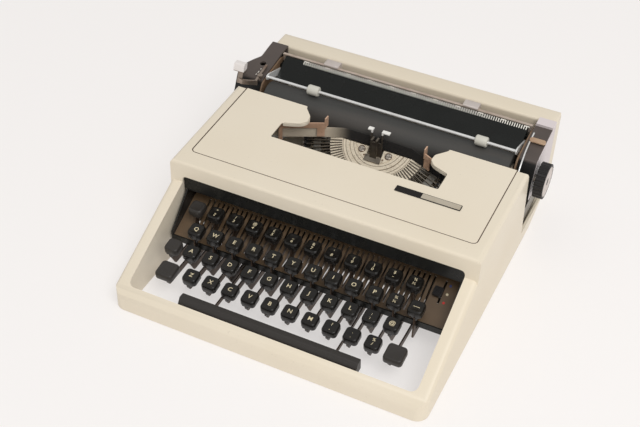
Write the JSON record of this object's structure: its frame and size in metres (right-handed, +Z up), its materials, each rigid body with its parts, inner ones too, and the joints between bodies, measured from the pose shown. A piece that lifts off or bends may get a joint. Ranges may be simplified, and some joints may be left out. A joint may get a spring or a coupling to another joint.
{
  "type": "portable typewriter",
  "caption": "Portable manual typewriter with key rows in an open well, lift-off ribbon cover, type basket, and a sliding carriage with platen and bail.",
  "frame": {"origin": "on the table under the middle of the machine's bounding box", "axes": "+X to the typist's right, +Y to the back of the machine, +Z up"},
  "size_m": [0.3158, 0.332, 0.1059],
  "materials": {
    "cream_paint": "satin moulded shell",
    "black_trim": "glossy",
    "key_black": "semi-gloss moulded caps on dark levers",
    "brown_paint": "satin dark brown paint",
    "frame_steel": "dull plated sheet",
    "plated_steel": "bright plated",
    "segment_metal": "machined",
    "type_steel": "dark steel",
    "black_metal": "gloss black",
    "copper_plate": "coppery plated strip",
    "ribbon_cloth": "inked cloth",
    "grey_cap": "dark grey enamel",
    "platen_rubber": "ground rubber",
    "knob_black": "gloss",
    "table_black": "gloss black enamel",
    "light_metal": "satin",
    "chrome_bar": "polished",
    "roller_grey": "pale grey",
    "lever_chrome": "polished",
    "brass_tab": "dull",
    "foot_rubber": "matt",
    "plain_plate": "bare name plate"
  },
  "bodies": {
    "body": {"body_shell": "cream_paint", "feet": "foot_rubber", "chassis": "frame_steel", "pivot_rod": "frame_steel", "well_trim": "black_trim", "key_comb": "brown_paint", "ribbon_guides": "copper_plate", "spool_decks": "frame_steel", "ribbon": "ribbon_cloth", "carriage_rail": "plated_steel"},
    "cover": {"ribbon_cover": "cream_paint", "name_plate": "plain_plate"},
    "basket": {"segment": "segment_metal", "type_bars": "type_steel", "basket_frame": "plated_steel", "type_guide": "plated_steel"},
    "vibrator": {"ribbon_vibrator": "black_metal"},
    "selector": {"ribbon_selector": "black_trim"},
    "left_spool": {"spool_left": "black_metal"},
    "right_spool": {"spool_right": "black_metal"},
    "space_key": {"space_bar": "key_black"},
    "shift_keys": {"shift_bail": "key_black"},
    "lock_key": {"shift_lock": "key_black"},
    "release_key": {"margin_release": "key_black"},
    "back_key": {"backspace": "key_black"},
    "number_row": {"number_keys": "key_black"},
    "top_letter_row": {"top_letter_keys": "key_black"},
    "carriage": {"carriage_frame": "brown_paint", "end_caps": "grey_cap", "paper_table": "table_black", "margin_rail": "light_metal"},
    "platen_roll": {"platen": "platen_rubber", "platen_knob": "knob_black"},
    "left_stop": {"margin_stop_left": "light_metal"},
    "right_stop": {"margin_stop_right": "light_metal"},
    "bail": {"paper_bail": "chrome_bar"},
    "bail_roll": {"bail_rollers": "roller_grey"},
    "line_lever": {"return_lever": "lever_chrome"},
    "tab_lever": {"release_lever": "brass_tab"},
    "key_a1_body": {"key_a1": "key_black"},
    "key_a2_body": {"key_a2": "key_black"},
    "key_a3_body": {"key_a3": "key_black"},
    "key_a4_body": {"key_a4": "key_black"},
    "key_a5_body": {"key_a5": "key_black"},
    "key_a6_body": {"key_a6": "key_black"},
    "key_a7_body": {"key_a7": "key_black"},
    "key_a8_body": {"key_a8": "key_black"},
    "key_a9_body": {"key_a9": "key_black"},
    "key_a10_body": {"key_a10": "key_black"},
    "key_a11_body": {"key_a11": "key_black"},
    "key_z1_body": {"key_z1": "key_black"},
    "key_z2_body": {"key_z2": "key_black"},
    "key_z3_body": {"key_z3": "key_black"},
    "key_z4_body": {"key_z4": "key_black"},
    "key_z5_body": {"key_z5": "key_black"},
    "key_z6_body": {"key_z6": "key_black"},
    "key_z7_body": {"key_z7": "key_black"},
    "key_z8_body": {"key_z8": "key_black"},
    "key_z9_body": {"key_z9": "key_black"},
    "key_z10_body": {"key_z10": "key_black"}
  },
  "joints": [
    {"name": "carriage_slide", "type": "slide", "parent": "body", "child": "carriage", "axis": [1, 0, 0], "range_m": [-0.1, 0.1]},
    {"name": "platen_turn", "type": "hinge", "parent": "carriage", "child": "platen_roll", "pos_m": [0, 0.085, 0.074], "axis": [1, 0, 0], "continuous": true},
    {"name": "bail_lift", "type": "hinge", "parent": "carriage", "child": "bail", "pos_m": [0, 0.111, 0.088], "axis": [-1, 0, 0], "range_deg": [0, 45]},
    {"name": "bail_roller_turn", "type": "hinge", "parent": "bail", "child": "bail_roll", "pos_m": [0, 0.086, 0.096], "axis": [1, 0, 0], "continuous": true},
    {"name": "return_swing", "type": "hinge", "parent": "carriage", "child": "line_lever", "pos_m": [-0.133, 0.085, 0.098], "axis": [0, 0, 1], "range_deg": [0, 28]},
    {"name": "release_turn", "type": "hinge", "parent": "carriage", "child": "tab_lever", "pos_m": [0.134, 0.106, 0.098], "axis": [0, 0, 1], "range_deg": [-15, 15]},
    {"name": "left_stop_slide", "type": "slide", "parent": "carriage", "child": "left_stop", "axis": [1, 0, 0], "range_m": [-0.035, 0.05]},
    {"name": "right_stop_slide", "type": "slide", "parent": "carriage", "child": "right_stop", "axis": [1, 0, 0], "range_m": [-0.05, 0.045]},
    {"name": "cover_lift", "type": "slide", "parent": "body", "child": "cover", "axis": [0, 0, 1], "range_m": [0, 0.05]},
    {"name": "shift_press", "type": "hinge", "parent": "body", "child": "shift_keys", "pos_m": [0, 0.049, 0.0165], "axis": [1, 0, 0], "range_deg": [0, 2.88], "stiffness_Nm_per_rad": 0.5, "springref_deg": -5.73},
    {"name": "basket_shift", "type": "slide", "parent": "body", "child": "basket", "axis": [0, 0, -1], "range_m": [0, 0.0062], "stiffness_N_per_m": 600, "springref_m": -0.012},
    {"name": "space_press", "type": "hinge", "parent": "body", "child": "space_key", "pos_m": [0, 0.049, 0.0165], "axis": [1, 0, 0], "range_deg": [0, 2.3], "stiffness_Nm_per_rad": 1.5, "springref_deg": -5.73},
    {"name": "lock_press", "type": "hinge", "parent": "body", "child": "lock_key", "pos_m": [0, 0.049, 0.0165], "axis": [1, 0, 0], "range_deg": [0, 3.27], "stiffness_Nm_per_rad": 0.5, "springref_deg": -5.73},
    {"name": "margin_release_press", "type": "hinge", "parent": "body", "child": "release_key", "pos_m": [0, 0.049, 0.0165], "axis": [1, 0, 0], "range_deg": [0, 3.13], "stiffness_Nm_per_rad": 0.5, "springref_deg": -5.73},
    {"name": "backspace_press", "type": "hinge", "parent": "body", "child": "back_key", "pos_m": [0, 0.049, 0.0165], "axis": [1, 0, 0], "range_deg": [0, 3.73], "stiffness_Nm_per_rad": 0.5, "springref_deg": -5.73},
    {"name": "vibrator_lift", "type": "slide", "parent": "body", "child": "vibrator", "axis": [0, 0, 1], "range_m": [0, 0.008]},
    {"name": "selector_slide", "type": "slide", "parent": "body", "child": "selector", "axis": [0, 0.9048, 0.4258], "range_m": [-0.0065, 0.0065]},
    {"name": "left_spool_turn", "type": "hinge", "parent": "body", "child": "left_spool", "pos_m": [-0.108, 0.022, 0.074], "axis": [0, 0, 1], "continuous": true},
    {"name": "right_spool_turn", "type": "hinge", "parent": "body", "child": "right_spool", "pos_m": [0.108, 0.022, 0.074], "axis": [0, 0, 1], "continuous": true},
    {"name": "number_row_press", "type": "hinge", "parent": "body", "child": "number_row", "pos_m": [0, 0.049, 0.0165], "axis": [1, 0, 0], "range_deg": [0, 3.13], "stiffness_Nm_per_rad": 2.5, "springref_deg": -5.73},
    {"name": "top_letter_row_press", "type": "hinge", "parent": "body", "child": "top_letter_row", "pos_m": [0, 0.049, 0.0165], "axis": [1, 0, 0], "range_deg": [0, 3.73], "stiffness_Nm_per_rad": 2.5, "springref_deg": -5.73},
    {"name": "key_a1_press", "type": "hinge", "parent": "body", "child": "key_a1_body", "pos_m": [0, 0.049, 0.0165], "axis": [1, 0, 0], "range_deg": [0, 3.27], "stiffness_Nm_per_rad": 0.4, "springref_deg": -5.73},
    {"name": "key_a2_press", "type": "hinge", "parent": "body", "child": "key_a2_body", "pos_m": [0, 0.049, 0.0165], "axis": [1, 0, 0], "range_deg": [0, 3.27], "stiffness_Nm_per_rad": 0.4, "springref_deg": -5.73},
    {"name": "key_a3_press", "type": "hinge", "parent": "body", "child": "key_a3_body", "pos_m": [0, 0.049, 0.0165], "axis": [1, 0, 0], "range_deg": [0, 3.27], "stiffness_Nm_per_rad": 0.4, "springref_deg": -5.73},
    {"name": "key_a4_press", "type": "hinge", "parent": "body", "child": "key_a4_body", "pos_m": [0, 0.049, 0.0165], "axis": [1, 0, 0], "range_deg": [0, 3.27], "stiffness_Nm_per_rad": 0.4, "springref_deg": -5.73},
    {"name": "key_a5_press", "type": "hinge", "parent": "body", "child": "key_a5_body", "pos_m": [0, 0.049, 0.0165], "axis": [1, 0, 0], "range_deg": [0, 3.27], "stiffness_Nm_per_rad": 0.4, "springref_deg": -5.73},
    {"name": "key_a6_press", "type": "hinge", "parent": "body", "child": "key_a6_body", "pos_m": [0, 0.049, 0.0165], "axis": [1, 0, 0], "range_deg": [0, 3.27], "stiffness_Nm_per_rad": 0.4, "springref_deg": -5.73},
    {"name": "key_a7_press", "type": "hinge", "parent": "body", "child": "key_a7_body", "pos_m": [0, 0.049, 0.0165], "axis": [1, 0, 0], "range_deg": [0, 3.27], "stiffness_Nm_per_rad": 0.4, "springref_deg": -5.73},
    {"name": "key_a8_press", "type": "hinge", "parent": "body", "child": "key_a8_body", "pos_m": [0, 0.049, 0.0165], "axis": [1, 0, 0], "range_deg": [0, 3.27], "stiffness_Nm_per_rad": 0.4, "springref_deg": -5.73},
    {"name": "key_a9_press", "type": "hinge", "parent": "body", "child": "key_a9_body", "pos_m": [0, 0.049, 0.0165], "axis": [1, 0, 0], "range_deg": [0, 3.27], "stiffness_Nm_per_rad": 0.4, "springref_deg": -5.73},
    {"name": "key_a10_press", "type": "hinge", "parent": "body", "child": "key_a10_body", "pos_m": [0, 0.049, 0.0165], "axis": [1, 0, 0], "range_deg": [0, 3.27], "stiffness_Nm_per_rad": 0.4, "springref_deg": -5.73},
    {"name": "key_a11_press", "type": "hinge", "parent": "body", "child": "key_a11_body", "pos_m": [0, 0.049, 0.0165], "axis": [1, 0, 0], "range_deg": [0, 3.27], "stiffness_Nm_per_rad": 0.4, "springref_deg": -5.73},
    {"name": "key_z1_press", "type": "hinge", "parent": "body", "child": "key_z1_body", "pos_m": [0, 0.049, 0.0165], "axis": [1, 0, 0], "range_deg": [0, 2.91], "stiffness_Nm_per_rad": 0.4, "springref_deg": -5.73},
    {"name": "key_z2_press", "type": "hinge", "parent": "body", "child": "key_z2_body", "pos_m": [0, 0.049, 0.0165], "axis": [1, 0, 0], "range_deg": [0, 2.91], "stiffness_Nm_per_rad": 0.4, "springref_deg": -5.73},
    {"name": "key_z3_press", "type": "hinge", "parent": "body", "child": "key_z3_body", "pos_m": [0, 0.049, 0.0165], "axis": [1, 0, 0], "range_deg": [0, 2.91], "stiffness_Nm_per_rad": 0.4, "springref_deg": -5.73},
    {"name": "key_z4_press", "type": "hinge", "parent": "body", "child": "key_z4_body", "pos_m": [0, 0.049, 0.0165], "axis": [1, 0, 0], "range_deg": [0, 2.91], "stiffness_Nm_per_rad": 0.4, "springref_deg": -5.73},
    {"name": "key_z5_press", "type": "hinge", "parent": "body", "child": "key_z5_body", "pos_m": [0, 0.049, 0.0165], "axis": [1, 0, 0], "range_deg": [0, 2.91], "stiffness_Nm_per_rad": 0.4, "springref_deg": -5.73},
    {"name": "key_z6_press", "type": "hinge", "parent": "body", "child": "key_z6_body", "pos_m": [0, 0.049, 0.0165], "axis": [1, 0, 0], "range_deg": [0, 2.91], "stiffness_Nm_per_rad": 0.4, "springref_deg": -5.73},
    {"name": "key_z7_press", "type": "hinge", "parent": "body", "child": "key_z7_body", "pos_m": [0, 0.049, 0.0165], "axis": [1, 0, 0], "range_deg": [0, 2.91], "stiffness_Nm_per_rad": 0.4, "springref_deg": -5.73},
    {"name": "key_z8_press", "type": "hinge", "parent": "body", "child": "key_z8_body", "pos_m": [0, 0.049, 0.0165], "axis": [1, 0, 0], "range_deg": [0, 2.91], "stiffness_Nm_per_rad": 0.4, "springref_deg": -5.73},
    {"name": "key_z9_press", "type": "hinge", "parent": "body", "child": "key_z9_body", "pos_m": [0, 0.049, 0.0165], "axis": [1, 0, 0], "range_deg": [0, 2.91], "stiffness_Nm_per_rad": 0.4, "springref_deg": -5.73},
    {"name": "key_z10_press", "type": "hinge", "parent": "body", "child": "key_z10_body", "pos_m": [0, 0.049, 0.0165], "axis": [1, 0, 0], "range_deg": [0, 2.91], "stiffness_Nm_per_rad": 0.4, "springref_deg": -5.73}
  ],
  "couplings": [
    {"joint": "basket_shift", "follows": "shift_press", "m_per_rad": 0.11928}
  ]
}
